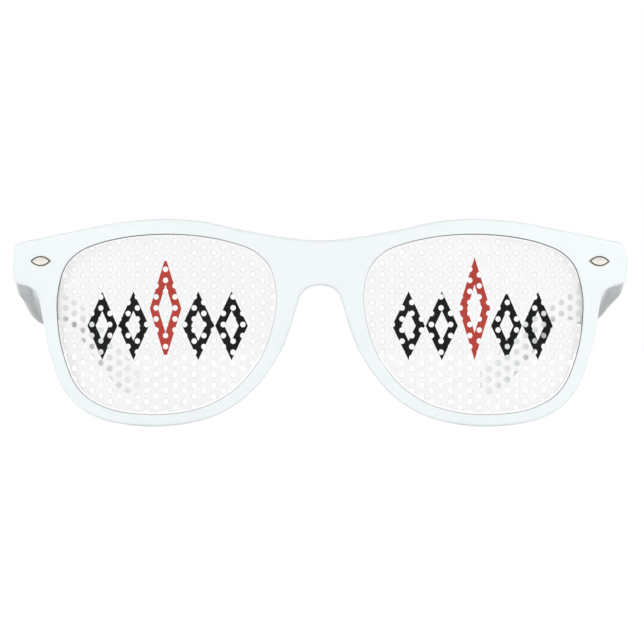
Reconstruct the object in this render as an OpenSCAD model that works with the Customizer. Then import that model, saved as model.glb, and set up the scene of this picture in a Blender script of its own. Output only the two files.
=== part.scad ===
/* [Front] */
// Width of each lens opening, seen from the front
lens_w = 52; // [48:0.5:56]
// Height of each lens opening
lens_h = 42; // [38:0.5:46]
// Gap between the two lens openings at the bridge
bridge_gap = 20.2; // [18:0.2:24]
// Usual width of the rim round a lens
rim_w = 3.2; // [2.6:0.1:4]
// Thickness of the rim, front to back
rim_t = 3.8; // [3.4:0.1:5]
// Radius of the wrap of the whole front
wrap_r = 150; // [130:5:220]
// Height of the bridge, from the arch over the nose to its top edge
bridge_h = 10.4; // [8:0.2:13]
// Radius of the soft edges of the front
edge_r = 0.8; // [0.4:0.1:1.2]
// How far the nose pads stand out behind the rim
pad_d = 3.4; // [2:0.2:5]
/* [Endpieces] */
// Reach of each endpiece beyond its lens opening
endpiece_w = 10.9; // [10:0.1:13]
// Height of the outer side of each endpiece
endpiece_h = 9.6; // [9:0.2:12]
// Depth of the outer side of each endpiece, front to back
endpiece_d = 5.4; // [5:0.2:8]
/* [Lenses] */
// Thickness of a lens
lens_t = 1.8; // [1.2:0.1:2]
// Depth of the groove that holds the lens
groove_d = 0.9; // [0.6:0.1:1.2]
// Thickness of the perforated film
film_t = 0.2; // [0.1:0.05:0.3]
// Bare edge of the lens between the film and the rim
film_margin = 0.4; // [0.2:0.1:1]
// Diameter of one hole in the film
hole_d = 1.3; // [1:0.1:1.6]
// Distance between the upright columns of holes
column_pitch = 2.31; // [2.1:0.01:2.8]
// Distance between the holes of one column
row_pitch = 2.58; // [2.4:0.02:3.2]
// Shift of the left film's columns towards the nose, in columns
column_shift = 0.5; // [0:0.1:0.5]
/* [Temples] */
// Length of a temple along its top, from the butt to the tip
temple_l = 137; // [125:1:150]
// Thickness of a temple at the hinge
temple_t = 4; // [3.4:0.1:5]
// Height of a temple at its deepest, a quarter of the way back
temple_h = 13; // [11:0.2:15]
// How far a temple bows outwards behind its hinge
temple_bow = 2; // [0:0.1:3]
// Length of the ear hook, measured along the temple
hook_l = 49; // [42:1:55]
// Drop of the ear hook below the straight part
hook_drop = 12; // [8:1:20]
// How far the ear hook turns inwards
hook_in = 14; // [8:0.5:16]
// Slope of the temples below the horizontal
temple_slope = 8.5; // [4:0.5:12]
// How far the left temple is turned in at rest
turn_in_left = 4.5; // [0:0.5:6]
// How far the right temple is turned in at rest
turn_in_right = 2; // [0:0.5:6]
/* [Hinges] */
// Outer radius of the hinge barrel
barrel_r = 1.4; // [1.2:0.1:1.6]
// Height of the hinge barrel
barrel_h = 6; // [5:0.2:7]
// Thickness of a hinge leaf
leaf_t = 0.8; // [0.6:0.1:1]
// Length of the leaf on the front
front_leaf_l = 4.6; // [4:0.2:6]
// Length of the leaf on the temple
temple_leaf_l = 9; // [6:0.5:12]
// Radius of the pivot screw
screw_r = 0.65; // [0.5:0.05:0.8]
/* [Ornaments] */
// Length of an ornament from point to point
ornament_w = 5.6; // [4.6:0.2:7]
// Height of an ornament
ornament_h = 2.4; // [2.2:0.2:4]
// Distance of an ornament from the outer side of the front
ornament_in = 6.8; // [5:0.2:9]
// Height of an ornament's crown above the front
ornament_rise = 0.45; // [0.3:0.05:0.8]
// Radius of the ornament's shank
shank_r = 0.75; // [0.5:0.05:1]
// Length of the ornament's shank
shank_l = 2.6; // [2:0.2:3.5]
/* [Hidden] */

// Clearances: of parts that run on each other, and of parts that are seated for good
run_gap = 0.04;
seat_gap = 0.05;
butt_gap = 0.3;

// Lens shape as shares of half the opening's width and height, clockwise from the
// brow above the nose. The third value is the rim's width there, in rim widths.
lens_shape = [
    [-0.64, 0.89, 1.1], [-0.32, 0.975, 1.12], [0.03, 1, 1.15], [0.36, 0.97, 1.17],
    [0.62, 0.9, 1.3], [0.8, 0.805, 1.7], [0.925, 0.645, 2], [0.995, 0.33, 1.8],
    [0.995, 0.06, 1.18], [0.965, -0.22, 1.05], [0.85, -0.625, 1.05], [0.74, -0.795, 1],
    [0.59, -0.905, 0.97], [0.41, -0.972, 0.9], [0.13, -1, 0.88], [-0.16, -0.972, 0.88],
    [-0.43, -0.868, 0.95], [-0.66, -0.675, 1], [-0.87, -0.335, 1.1], [-0.965, 0, 1.3],
    [-0.995, 0.33, 1.5], [-0.94, 0.63, 1.5], [-0.81, 0.8, 1.3]];
brow_end = 4;
cheek_start = 8;
cheek_end = 19;
// Points that each stretch of an outline is divided into
steps = 3;

lens_cx = (bridge_gap + lens_w) / 2;
lens_cz = 0.88 * rim_w + lens_h / 2;
half_w = lens_cx + lens_w / 2 + endpiece_w;
bridge_top = lens_cz + 0.93 * lens_h / 2;
arch_top = bridge_top - bridge_h;
endpiece_top = lens_cz + 0.91 * lens_h / 2;
endpiece_low = endpiece_top - endpiece_h;

// Centripetal Catmull-Rom curve between p1 and p2
function knot(a, b) = sqrt(max(norm(b - a), 0.001));
function curve_point(p0, p1, p2, p3, f) =
    let (t1 = knot(p0, p1), t2 = t1 + knot(p1, p2), t3 = t2 + knot(p2, p3), t = t1 + (t2 - t1) * f)
    let (a1 = (p0 * (t1 - t) + p1 * t) / t1)
    let (a2 = (p1 * (t2 - t) + p2 * (t - t1)) / (t2 - t1))
    let (a3 = (p2 * (t3 - t) + p3 * (t - t2)) / (t3 - t2))
    let (b1 = (a1 * (t2 - t) + a2 * t) / t2)
    let (b2 = (a2 * (t3 - t) + a3 * (t - t1)) / (t3 - t1))
    (b1 * (t2 - t) + b2 * (t - t1)) / (t2 - t1);
function closed_curve(p, n) =
    let (m = len(p))
    [for (i = [0:m - 1], k = [0:n - 1])
        curve_point(p[(i + m - 1) % m], p[i], p[(i + 1) % m], p[(i + 2) % m], k / n)];
// The first and last points only guide the ends
function open_curve(p, n) =
    let (m = len(p))
    concat([for (i = [0:m - 4], k = [0:n - 1]) curve_point(p[i], p[i + 1], p[i + 2], p[i + 3], k / n)],
        [p[m - 2]]);
function unit(v) = v / norm(v);
function mix(a, b, f) = a + (b - a) * f;
function smooth(a, b, x) = let (f = min(max((x - a) / (b - a), 0), 1)) f * f * (3 - 2 * f);

// The opening of the left lens, as points about the lens centre and by angle
lens_centre = [lens_cx, lens_cz];
opening_anchors = [for (s = lens_shape) [s[0] * lens_w / 2, s[1] * lens_h / 2]];
opening_curve = closed_curve(opening_anchors, 8);
function angle_of(p) = (atan2(p[1], p[0]) + 360) % 360;
function by_angle(p) =
    let (a = [for (q = p) angle_of(q)], first = search(min(a), a)[0], n = len(p))
    [for (i = [-1:n]) let (k = (first - i + 2 * n) % n)
        [a[k] + (i < 0 ? -360 : i == n ? 360 : 0), norm(p[k])]];
opening_radii = by_angle(opening_curve);
function opening_at(angle) =
    lookup(angle, opening_radii) * [cos(angle), sin(angle)];
function opening_normal(angle) =
    let (d = opening_at((angle + 359) % 360) - opening_at((angle + 1) % 360))
    unit([-d[1], d[0]]);

// The outline of the left half of the front, clockwise from the top of the bridge
function rim_anchor(i) =
    let (p = opening_anchors[i], m = len(opening_anchors))
    let (d = opening_anchors[(i + 1) % m] - opening_anchors[(i + m - 1) % m])
    lens_centre + p + unit([-d[1], d[0]]) * rim_w * lens_shape[i][2];
brow = concat([[0, bridge_top], [bridge_gap * 0.3, bridge_top + 0.4]],
    [for (i = [0:brow_end]) rim_anchor(i)]);
endpiece_edge = [
    [half_w - 7, endpiece_top + 1.4], [half_w - 1.6, endpiece_top + 0.4],
    [half_w - 0.4, endpiece_top - 0.3], [half_w, endpiece_top - 1.5],
    [half_w, endpiece_low + 1.4], [half_w - 0.5, endpiece_low + 0.4],
    [half_w - 1.6, endpiece_low - 0.1], [half_w - 4, endpiece_low - 0.8],
    [half_w - 5.7, endpiece_low - 2.2]];
arch = [[bridge_gap * 0.255, arch_top - 4], [bridge_gap * 0.215, arch_top - 2],
    [bridge_gap * 0.12, arch_top - 0.5], [0, arch_top]];
cheek = [for (i = [cheek_start:cheek_end]) rim_anchor(i)];
function mirrored(p) = [-p[0], p[1]];
edge_curve = open_curve(
    concat([mirrored(brow[1])], brow, endpiece_edge, cheek, arch, [mirrored(arch[2])]), steps);
// The seam runs down the middle of the bridge, from the arch back to the top
seam_steps = 4;
seam = [for (k = [1:seam_steps - 1]) [0, mix(arch_top, bridge_top, k / seam_steps)]];
outline = concat(edge_curve, seam);
edge_n = len(edge_curve);
rows = len(outline);
function outline_normal(i) =
    i == 0 ? [0, 1] : i == edge_n - 1 ? [0, -1] : i >= edge_n ? [0, 0]
    : let (d = outline[i + 1] - outline[i - 1]) unit([-d[1], d[0]]);
// Each station joins a point of the outline to the opening, almost straight towards the
// lens centre, but spread a little so that no two stations meet
first_angle = angle_of(outline[0] - lens_centre);
spread = 0.25;
function swept(i) = mix((first_angle - angle_of(outline[i] - lens_centre) + 360) % 360,
    360 * i / rows, spread);
station_angles = [for (i = [0:rows - 1]) (first_angle - swept(i) + 360) % 360];
opening = [for (a = station_angles) lens_centre + opening_at(a)];
opening_out = [for (a = station_angles) opening_normal(a)];

// Depths behind the face of the front, which curves back from the bridge
function face_y(x) = wrap_r - sqrt(wrap_r * wrap_r - x * x);
hinge_u = half_w - temple_t - barrel_r - seat_gap;
hinge_y = face_y(half_w) + endpiece_d;
hinge_z = (endpiece_top + endpiece_low) / 2 + 0.1;
hinge_at = [hinge_u, hinge_y, hinge_z];
lens_front = (rim_t - lens_t) / 2;
// The lug that carries the hinge runs past the butt, where its seat is cut
lug_y = hinge_y + 3;
function lug(x, z) = smooth(hinge_u - front_leaf_l - 2.6, hinge_u - front_leaf_l + 0.4, x)
    * smooth(endpiece_low - 4.2, endpiece_low - 0.6, z);
function pad(x, z) = x > lens_cx ? 0
    : smooth(0.2 * lens_h, 0.34 * lens_h, z) * (1 - smooth(0.5 * lens_h, 0.68 * lens_h, z));
function back_y(p, f) = mix(face_y(p[0]) + rim_t + pad_d * pad(p[0], p[1]) * f * f, lug_y, lug(p[0], p[1]));

lip_r = 0.35;
pad_lean = 1.2;

// One section of the rim, a closed ring from the lens opening round the outer edge
function at(p, y) = [p[0], y, p[1]];
function face(p, d) = at(p, face_y(p[0]) + d);
function rim_section(i) =
    let (a = opening[i], n = opening_out[i], b = outline[i], m = outline_normal(i))
    let (soft = edge_r * (i < edge_n ? 1 : 0), half_soft = 0.3 * soft, bevel = 0.3 * edge_r)
    let (groove = a + n * groove_d, g1 = lens_front - seat_gap, g2 = lens_front + lens_t + seat_gap)
    let (lean = b - m * pad_lean * pad(b[0], b[1]), back = back_y(b, 1))
    let (inner = a + n * lip_r, outer = lean - m * soft)
    [face(inner, 0), face(a, lip_r), face(a, g1), face(groove, g1), face(groove, g2),
        face(a, g2), at(a, back_y(a, 0) - lip_r), at(inner, back_y(inner, 0)),
        for (f = [0.25, 0.5, 0.75]) at(mix(inner, outer, f), back_y(mix(inner, outer, f), f)),
        at(outer, back), at(lean - m * half_soft, back - bevel),
        at(lean, back - edge_r), face(b, edge_r), face(b - m * half_soft, bevel), face(b - m * soft, 0)];
columns = 17;
wall_start = 11;
wall_end = 16;

// Both halves share the points of the seam, so the front is one closed skin
half_points = [for (i = [0:rows - 1]) each rim_section(i)];
half_n = len(half_points);
function on_seam(k) = let (i = floor(k / columns), j = k % columns)
    (i == 0 || i >= edge_n - 1) && j >= wall_start && j <= wall_end;
function other(k) = on_seam(k) ? k : k + half_n;
front_points = concat(half_points, [for (p = half_points) [-p[0], p[1], p[2]]]);
half_faces = [for (i = [0:rows - 1], j = [0:columns - 1])
    let (in_seam = i >= edge_n - 1 && j >= wall_start && j < wall_end)
    if (!in_seam)
        let (i2 = (i + 1) % rows, j2 = (j + 1) % columns)
        let (a = i * columns + j, b = i2 * columns + j, c = i2 * columns + j2, d = i * columns + j2)
        each [[a, b, c], [a, c, d]]];
front_faces = concat(half_faces, [for (f = half_faces) [other(f[2]), other(f[1]), other(f[0])]]);

// Path of a temple's middle in the hinge's frame, as [out, back, up, height, thickness]. The
// rows of the straight part and of the hook are given as shares of its own sizes.
temple_u = barrel_r + seat_gap + temple_t / 2;
bend = temple_l - hook_l;
tip_round = 3.5;
butt_h = endpiece_h - 0.2;
function straight(out, back, up, height, thickness) =
    [out * temple_bow, back * bend, up * temple_h, height * temple_h, thickness * temple_t];
function hook(inwards, back, down, height, thickness) =
    [-inwards * hook_in, bend + back * hook_l, -down * hook_drop, height * temple_h, thickness * temple_t];
temple_path = [
    [0, -temple_leaf_l, 0, butt_h, temple_t], [0, butt_gap / 2, 0, butt_h, temple_t],
    [0, temple_leaf_l / 2, -0.07 * temple_h, 0.9 * temple_h, temple_t],
    [0, temple_leaf_l + 1, -0.09 * temple_h, 0.97 * temple_h, temple_t],
    straight(0.5, 0.3, -0.055, 1, 1), straight(1, 0.5, -0.03, 0.97, 1),
    straight(0.9, 0.67, 0, 0.9, 0.97), straight(0.25, 0.85, 0.13, 0.58, 0.9),
    hook(0.115, 0, -0.15, 0.5, 0.85), hook(0.285, 0.2, 0.03, 0.6, 0.825),
    hook(0.49, 0.39, 0.33, 0.7, 0.8), hook(0.7, 0.57, 0.64, 0.75, 0.775),
    hook(0.885, 0.78, 0.86, 0.74, 0.75), hook(1, 1 - tip_round / hook_l, 0.93, 0.62, 0.75),
    hook(1.14, 1.12, 1, 0.54, 0.75)];
temple_stations = open_curve(temple_path, steps);

// One ring of a temple is a box with round corners, square to the path. At the butt they are
// the endpiece's corners, and further back they make half round edges.
round_from = 16;
butt_corner = 0.4;
edge_corner = 0.94;
function corner_share(back) = mix(butt_corner, edge_corner, smooth(0, round_from, back));
function box_ring(a, b, corner) = let (r = corner * a)
    [for (q = [[1, 1, 0], [-1, 1, 90], [-1, -1, 180], [1, -1, 270]], k = [0:30:90])
        [q[0] * (a - r) + r * cos(q[2] + k), q[1] * (b - r) + r * sin(q[2] + k)]];
function middle(s) = [temple_u + s[0], s[1], s[2]];
function temple_ring(i, share, ahead) =
    let (n = len(temple_stations), s = temple_stations[i])
    let (t = i == 0 ? [0, 1, 0] : unit(middle(temple_stations[min(i + 1, n - 1)])
        - middle(temple_stations[i - 1])))
    let (out = unit([t[1], -t[0], 0]), up = cross(out, t))
    [for (q = box_ring(share * s[4] / 2, share * s[3] / 2, corner_share(s[1])))
        middle(s) + t * ahead + out * q[0] + up * q[1]];
temple_rings = concat([for (i = [0:len(temple_stations) - 1]) temple_ring(i, 1, 0)],
    [for (a = [30, 55, 75]) temple_ring(len(temple_stations) - 1, cos(a), tip_round * sin(a))]);
ring_n = len(temple_rings[0]);
temple_points = [for (r = temple_rings) each r];
temple_faces = concat([[for (k = [0:ring_n - 1]) k]],
    [for (i = [0:len(temple_rings) - 2], k = [0:ring_n - 1]) let (a = i * ring_n, k2 = (k + 1) % ring_n)
        each [[a + k, a + ring_n + k, a + ring_n + k2], [a + k, a + ring_n + k2, a + k2]]],
    [[for (k = [ring_n - 1:-1:0]) (len(temple_rings) - 1) * ring_n + k]]);

// The origin is under the middle of the whole part
function reach_back(turn) = max([for (p = temple_points)
    hinge_y + (p[0] * sin(turn) + p[1] * cos(turn)) * cos(temple_slope) + p[2] * sin(temple_slope)]);
middle_y = max(reach_back(turn_in_left), reach_back(turn_in_right)) / 2;

// Places the left half's pieces, or mirrors them to the right
module on_side(left) {
    translate([0, -middle_y, 0]) mirror([left ? 0 : 1, 0, 0]) children();
}
module at_hinge(turn = 0) {
    translate(hinge_at) rotate([-temple_slope, 0, 0]) rotate([0, 0, turn]) children();
}
// Depth of the ornament's seat, and the height and width of its flange
seat_d = 0.3;
flange_rise = 0.15;
ornament_rim = 0.35;
// Faces out of the front at the ornament, with the outline in the XY plane
ornament_x = half_w - ornament_in;
ornament_z = hinge_z + 0.6;
module at_ornament() {
    translate([ornament_x, face_y(ornament_x), ornament_z])
        rotate([0, 0, asin(ornament_x / wrap_r)]) rotate([90, 0, 0]) children();
}
module pointed_oval(w, h) {
    r = (w * w + h * h) / (4 * h);
    intersection() {
        translate([0, r - h / 2]) circle(r, $fn = 96);
        translate([0, h / 2 - r]) circle(r, $fn = 96);
    }
}
// Room past the ends of what a cut or a slab goes through
past = 1;
module curved_slab(d1, d2) {
    height = lens_cz + lens_h;
    difference() {
        translate([0, wrap_r + d1, 0]) cylinder(r = wrap_r, h = height, $fn = 180);
        translate([0, wrap_r + d2, -past]) cylinder(r = wrap_r, h = height + 2 * past, $fn = 180);
    }
}
module lens_outline(d) {
    polygon([for (i = [0:rows - 1]) opening[i] + opening_out[i] * d]);
}
module lens_prism(d) {
    translate([0, hinge_y, 0]) rotate([90, 0, 0]) linear_extrude(hinge_y + past) lens_outline(d);
}

// Hinge sizes
middle_h = barrel_h / 3;
leaf_h = barrel_h - 1.2;
front_foot = [2.2, 1.6, 3.4];
temple_foot = [1.8, 4, 2.4];
// Where the feet start, from the end of the front's leaf and from the hinge's axis
front_foot_at = 0.8;
temple_foot_at = 3;
head_h = 0.6;
relief = 0.2;

// A slot round the hinge's axis, for what turns on it
module turning_room(r, h) {
    translate([0, 0, -h / 2]) cylinder(r = r, h = h, $fn = 48);
}
// Cuts the endpiece off at the butt, and makes room for the hinge on its inner side
module hinge_seat() {
    reach = 14;
    translate([-reach, -butt_gap / 2, -reach]) cube([2 * reach, reach, 2 * reach]);
    translate([-reach, -barrel_r - seat_gap, -reach])
        cube([reach + barrel_r + seat_gap, reach, 2 * reach]);
    turning_room(barrel_r + relief, 2 * reach);
    translate([front_foot_at - front_leaf_l, -barrel_r - front_foot[1], -front_foot[2] / 2]
            - seat_gap * [1, 1, 1])
        cube(front_foot + [2 * seat_gap, past, 2 * seat_gap]);
}

module frame_front() {
    color("white") translate([0, -middle_y, 0]) difference() {
        polyhedron(front_points, front_faces, convexity = 8);
        for (left = [true, false]) mirror([left ? 0 : 1, 0, 0]) {
            at_hinge() hinge_seat();
            at_ornament() {
                translate([0, 0, -seat_d]) linear_extrude(seat_d + past)
                    pointed_oval(ornament_w + 4 * seat_gap, ornament_h + 2 * seat_gap);
                translate([0, 0, -shank_l - seat_gap])
                    cylinder(r = shank_r + seat_gap, h = shank_l, $fn = 32);
            }
        }
    }
}
module lens() {
    intersection() {
        lens_prism(groove_d - 2 * seat_gap);
        curved_slab(lens_front, lens_front + lens_t);
    }
}
glue_gap = 0.02;
// Whole film left inside the edge, and how near to the edge the centre of a cut hole lies
film_edge = 0.3;
cut_hole = 0.3;
// The holes stand in upright columns, every other one half a step higher. The edge of the
// film cuts through some, but those that it would only graze are left out.
module film(shift) {
    column_angle = column_pitch / wrap_r * 180 / PI;
    mid_angle = asin(lens_cx / wrap_r);
    across = ceil(lens_w / column_pitch / 2) + 1;
    up = ceil(lens_h / row_pitch / 2);
    difference() {
        intersection() {
            lens_prism(-film_margin);
            curved_slab(lens_front - glue_gap - film_t, lens_front - glue_gap);
        }
        for (i = [-across:across], k = [-up:up]) {
            z = (k + (abs(i) % 2) / 2) * row_pitch;
            a = mid_angle + (i - shift) * column_angle;
            place = [wrap_r * sin(a) - lens_cx, z];
            room = lookup(angle_of(place), opening_radii) - film_margin - norm(place);
            if (room > hole_d / 2 + film_edge || abs(room) < cut_hole)
                translate([0, wrap_r, lens_cz + z]) rotate([0, 0, a])
                    translate([0, -wrap_r, 0]) rotate([-90, 0, 0])
                    cylinder(d = hole_d, h = lens_front + past, $fn = 16);
        }
    }
}
// A pressed cap with a low flange round a crowned field, and a shank behind it
module ornament() {
    field = [ornament_w - 4 * ornament_rim, ornament_h - 2 * ornament_rim];
    sag = ornament_rise - flange_rise;
    crown_r = (field[0] * field[0] / 4 + sag * sag) / (2 * sag);
    color("silver") at_ornament() {
        translate([0, 0, -seat_d + seat_gap]) linear_extrude(seat_d - seat_gap + flange_rise)
            pointed_oval(ornament_w, ornament_h);
        intersection() {
            linear_extrude(ornament_rise) pointed_oval(field[0], field[1]);
            translate([0, 0, ornament_rise - crown_r]) sphere(crown_r, $fn = 200);
        }
        translate([0, 0, -shank_l]) cylinder(r = shank_r, h = shank_l, $fn = 32);
    }
}
module knuckle(low, high) {
    translate([0, 0, low]) cylinder(r = barrel_r, h = high - low, $fn = 48);
}
module screw_bore() {
    translate([0, 0, -barrel_h]) cylinder(r = screw_r + run_gap, h = 2 * barrel_h, $fn = 32);
}
module front_hinge() {
    color("silver") at_hinge() difference() {
        union() {
            translate([-front_leaf_l, -barrel_r, -barrel_h / 2]) cube([front_leaf_l, leaf_t, barrel_h]);
            translate([front_foot_at - front_leaf_l, -barrel_r - front_foot[1], -front_foot[2] / 2])
                cube([front_foot[0], front_foot[1] + leaf_t / 2, front_foot[2]]);
            knuckle(middle_h / 2 + run_gap, barrel_h / 2);
            knuckle(-barrel_h / 2, -middle_h / 2 - run_gap);
        }
        turning_room(barrel_r + relief, middle_h + 2 * run_gap);
        screw_bore();
    }
}
module temple_hinge(turn) {
    color("silver") at_hinge(turn) difference() {
        union() {
            difference() {
                translate([barrel_r - leaf_t, 0, -leaf_h / 2]) cube([leaf_t, temple_leaf_l, leaf_h]);
                for (side = [1, -1])
                    translate([0, 0, side * (middle_h + barrel_h) / 2])
                        turning_room(barrel_r + relief, barrel_h);
            }
            translate([barrel_r - leaf_t / 2, temple_foot_at, -temple_foot[2] / 2])
                cube([temple_foot[0] + leaf_t / 2, temple_foot[1], temple_foot[2]]);
            knuckle(-middle_h / 2, middle_h / 2);
        }
        screw_bore();
    }
}
module hinge_screw() {
    slot_w = 0.35;
    color("gainsboro") at_hinge() difference() {
        union() {
            translate([0, 0, -barrel_h / 2]) cylinder(r = screw_r, h = barrel_h + 0.1, $fn = 32);
            translate([0, 0, barrel_h / 2]) cylinder(r = barrel_r - 0.25, h = head_h, $fn = 48);
        }
        translate([-barrel_r, -slot_w / 2, barrel_h / 2 + head_h / 2]) cube([2 * barrel_r, slot_w, head_h]);
    }
}
module temple(turn) {
    color("white") at_hinge(turn) difference() {
        polyhedron(temple_points, temple_faces, convexity = 4);
        turning_room(barrel_r + relief + seat_gap, 2 * temple_h);
        translate([barrel_r, temple_foot_at, -temple_foot[2] / 2] - seat_gap * [1, 1, 1])
            cube(temple_foot + 2 * seat_gap * [1, 1, 1]);
    }
}

frame_front();
color("aliceblue") on_side(true) lens();  // lens_left
color("aliceblue") on_side(false) lens();  // lens_right
color("white") on_side(true) film(column_shift);  // film_left
color("white") on_side(false) film(0);  // film_right
on_side(true) ornament();  // ornament_left
on_side(false) ornament();  // ornament_right
on_side(true) front_hinge();  // front_hinge_left
on_side(false) front_hinge();  // front_hinge_right
on_side(true) temple_hinge(turn_in_left);  // temple_hinge_left
on_side(false) temple_hinge(turn_in_right);  // temple_hinge_right
on_side(true) hinge_screw();  // hinge_screw_left
on_side(false) hinge_screw();  // hinge_screw_right
on_side(true) temple(turn_in_left);  // temple_left
on_side(false) temple(turn_in_right);  // temple_right
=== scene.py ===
import math
from collections import namedtuple
from types import SimpleNamespace

import bmesh
import bpy
import numpy as np
from bpy.props import FloatProperty, FloatVectorProperty, IntProperty, PointerProperty
from mathutils import Matrix, Vector
from mathutils.geometry import delaunay_2d_cdt


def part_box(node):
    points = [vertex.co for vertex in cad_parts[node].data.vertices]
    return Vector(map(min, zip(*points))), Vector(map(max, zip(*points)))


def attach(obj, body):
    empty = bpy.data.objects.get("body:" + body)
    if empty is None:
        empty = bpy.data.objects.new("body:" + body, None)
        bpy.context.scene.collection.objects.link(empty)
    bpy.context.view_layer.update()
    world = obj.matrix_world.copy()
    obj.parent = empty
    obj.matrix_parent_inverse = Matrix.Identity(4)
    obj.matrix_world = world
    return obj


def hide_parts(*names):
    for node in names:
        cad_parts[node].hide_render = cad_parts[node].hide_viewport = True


bl_info = {
    "name": "Party glasses",
    "version": (1, 0, 0),
    "blender": (4, 5, 0),
    "location": "3D View > Sidebar > Glasses",
    "description": "Dresses a pair of party glasses with perforated printed films",
    "category": "Object",
}

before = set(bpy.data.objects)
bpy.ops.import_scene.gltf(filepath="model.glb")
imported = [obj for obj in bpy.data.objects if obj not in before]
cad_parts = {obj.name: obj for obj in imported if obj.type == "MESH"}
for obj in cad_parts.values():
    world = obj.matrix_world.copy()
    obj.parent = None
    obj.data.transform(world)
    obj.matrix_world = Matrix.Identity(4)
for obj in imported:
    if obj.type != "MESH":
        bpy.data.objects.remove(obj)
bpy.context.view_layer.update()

# The shapes are worked out in millimetres, and the meshes are in metres
MM = 0.001
SIDES = {"left": 1, "right": -1}
BODIES = {"left": "left_arm", "right": "right_arm"}

# Lens shape as shares of half the opening's width and height, clockwise from the brow
# above the nose. The third value is the rim's width there, in rim widths.
LENS_SHAPE = [
    (-0.64, 0.89, 1.1), (-0.32, 0.975, 1.12), (0.03, 1, 1.15), (0.36, 0.97, 1.17),
    (0.62, 0.9, 1.3), (0.8, 0.805, 1.7), (0.925, 0.645, 2), (0.995, 0.33, 1.8),
    (0.995, 0.06, 1.18), (0.965, -0.22, 1.05), (0.85, -0.625, 1.05), (0.74, -0.795, 1),
    (0.59, -0.905, 0.97), (0.41, -0.972, 0.9), (0.13, -1, 0.88), (-0.16, -0.972, 0.88),
    (-0.43, -0.868, 0.95), (-0.66, -0.675, 1), (-0.87, -0.335, 1.1), (-0.965, 0, 1.3),
    (-0.995, 0.33, 1.5), (-0.94, 0.63, 1.5), (-0.81, 0.8, 1.3)]

# The rows where the rim runs into the endpiece, comes out of it again and reaches the bridge
BROW_END = 4
CHEEK_START = 8
CHEEK_END = 19


def length(name, description, value):
    """A size in the panel, given here in millimetres."""
    return FloatProperty(
        name=name, description=description, default=value * MM, min=0, precision=5, unit="LENGTH")


def rotation(name, description, value):
    """An angle in the panel, given here in degrees."""
    return FloatProperty(
        name=name, description=description, default=math.radians(value), unit="ROTATION")


def colour(name, description, value):
    return FloatVectorProperty(
        name=name, description=description, default=value, size=3, min=0, max=1, subtype="COLOR")


class GlassesSizes(bpy.types.PropertyGroup):
    """Sizes of the glasses, the same as the model's own"""

    lens_w: length("Lens width", "Width of each lens opening", 52)
    lens_h: length("Lens height", "Height of each lens opening", 42)
    bridge_gap: length("Bridge gap", "Gap between the two lens openings", 20.2)
    rim_w: length("Rim width", "Usual width of the rim round a lens", 3.2)
    rim_t: length("Rim thickness", "Thickness of the rim, front to back", 3.8)
    wrap_r: length("Wrap radius", "Radius of the wrap of the whole front", 150)
    bridge_h: length("Bridge height", "Height of the bridge above the nose", 10.4)
    edge_r: length("Edge radius", "Radius of the soft edges of the front", 0.8)
    pad_d: length("Pad depth", "How far the nose pads stand out behind", 3.4)
    endpiece_w: length("Endpiece width", "Reach of an endpiece beyond its lens", 10.9)
    endpiece_h: length("Endpiece height", "Height of the outer side", 9.6)
    endpiece_d: length("Endpiece depth", "Depth of the outer side", 5.4)
    lens_t: length("Lens thickness", "Thickness of a lens", 1.8)
    groove_d: length("Groove depth", "Depth of the groove that holds a lens", 0.9)
    temple_l: length("Temple length", "Length along the top of a temple", 137)
    temple_t: length("Temple thickness", "Thickness of a temple at its hinge", 4)
    temple_h: length("Temple height", "Height of a temple at its deepest", 13)
    temple_bow: length("Temple bow", "How far a temple bows outwards", 2)
    hook_l: length("Hook length", "Length of the ear hook along the temple", 49)
    hook_drop: length("Hook drop", "Drop of the ear hook", 12)
    hook_in: length("Hook turn", "How far the ear hook turns inwards", 14)
    temple_slope: rotation("Temple slope", "Slope of the temples below the horizontal", 8.5)
    turn_in_left: rotation("Left turn-in", "How far the left temple is turned in at rest", 4.5)
    turn_in_right: rotation("Right turn-in", "How far the right temple is turned in at rest", 2)
    ornament_w: length("Ornament length", "Length from point to point", 5.6)
    ornament_h: length("Ornament height", "Height of an ornament", 2.4)
    ornament_in: length("Ornament place", "Distance from the outer side of the front", 6.8)


class FilmSizes(bpy.types.PropertyGroup):
    """The perforated film and its print"""

    film_t: length("Film thickness", "Thickness of the film", 0.2)
    film_margin: length("Film margin", "Bare edge of the lens round the film", 0.4)
    hole_d: length("Hole diameter", "Diameter of one hole", 1.3)
    # The rim round a hole is a thin ring of painted shade on the film's face
    hole_rim: length("Hole rim", "Width of the shaded rim round a hole", 0.1)
    column_pitch: length("Column pitch", "Distance between the columns of holes", 2.31)
    row_pitch: length("Row pitch", "Distance between the holes of a column", 2.58)
    column_shift: FloatProperty(
        name="Column shift", description="Shift of the left film's columns to the nose, in columns",
        default=0.5, min=0, max=0.5)
    diamond_pitch: length("Diamond pitch", "Distance between the printed diamonds", 7.9)
    diamond_h: length("Diamond height", "Height of a black diamond", 16)
    tall_h: length("Tall diamond height", "Height of the red diamond", 24)
    stroke: length("Stroke", "Width of the printed lines", 1.95)
    diamonds: IntProperty(
        name="Diamonds", description="Printed diamonds on each side of the red one",
        default=2, min=0, max=3)


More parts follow.
